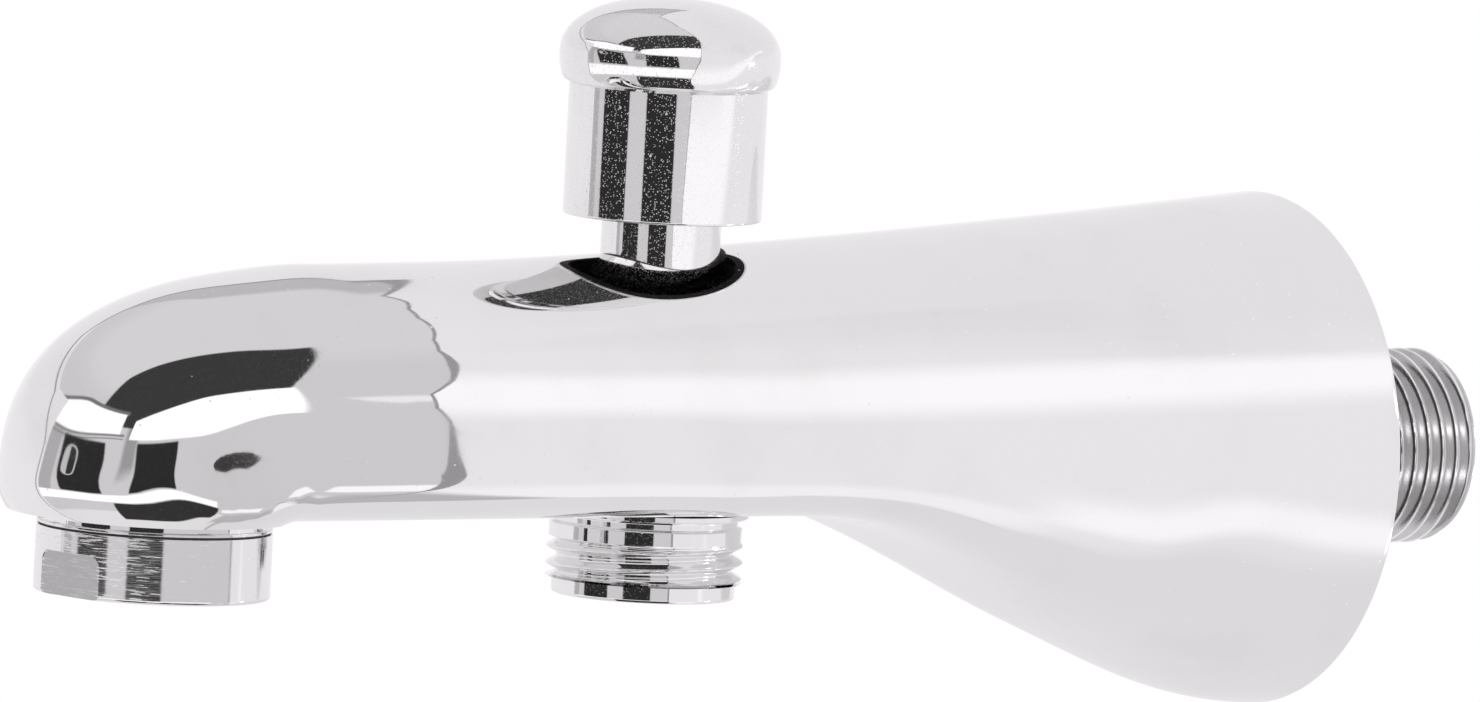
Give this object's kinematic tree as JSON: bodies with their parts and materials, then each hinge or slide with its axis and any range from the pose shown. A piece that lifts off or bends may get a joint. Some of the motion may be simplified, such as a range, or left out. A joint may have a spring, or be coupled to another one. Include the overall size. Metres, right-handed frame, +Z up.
{
  "type": "bath spout",
  "caption": "Chrome bath spout: flared round base, arched neck with rounded nose and aerator, pull-up diverter knob on top and a threaded hose outlet below.",
  "frame": {"origin": "middle of the wall face of the round base, on the axis of the inlet thread", "axes": "+X along the inlet thread into the wall, so the nose points to -X; +Z up; +Y to the left of the nose's way out"},
  "size_m": [0.1792, 0.0548, 0.076],
  "materials": {
    "chrome_body": "polished chrome plate on cast brass",
    "chrome_knob": "polished chrome plate on turned brass",
    "chrome_outlet": "chrome plate on a turned thread",
    "chrome_aerator": "chrome plate with fine turning marks",
    "nickel_thread": "dull nickel plate on a cut thread",
    "brass_turned": "bare turned brass",
    "rubber_seal": "black rubber",
    "rubber_valve": "black rubber",
    "fibre_seal": "red fibre",
    "spring_steel": "drawn wire",
    "mesh_steel": "woven wire",
    "insert_plastic": "moulded white plastic"
  },
  "bodies": {
    "spout": {"spout_body": "chrome_body", "inlet_nipple": "nickel_thread", "inlet_seal": "fibre_seal", "hose_nipple": "chrome_outlet", "hose_seal": "rubber_seal", "diverter_bonnet": "brass_turned", "bonnet_seat_seal": "rubber_seal", "bonnet_top_seal": "rubber_seal", "spindle_seal": "rubber_seal", "return_spring": "spring_steel", "aerator_shell": "chrome_aerator", "aerator_washer": "rubber_seal", "aerator_strainer": "mesh_steel", "aerator_cartridge": "insert_plastic", "aerator_screen": "mesh_steel"},
    "diverter_valve": {"valve_plug": "brass_turned", "plug_top_washer": "rubber_valve", "plug_bottom_washer": "rubber_valve"},
    "diverter_handle": {"diverter_spindle": "brass_turned", "plug_nut": "brass_turned", "diverter_knob": "chrome_knob"}
  },
  "joints": [
    {"name": "diverter_lift", "type": "slide", "parent": "spout", "child": "diverter_valve", "axis": [0, 0, 1], "range_m": [0, 0.007], "stiffness_N_per_m": 900, "springref_m": -0.003, "deforming": ["return_spring"]},
    {"name": "knob_turn", "type": "hinge", "parent": "diverter_valve", "child": "diverter_handle", "pos_m": [-0.0784, 0, 0.03], "axis": [0, 0, 1], "continuous": true}
  ]
}
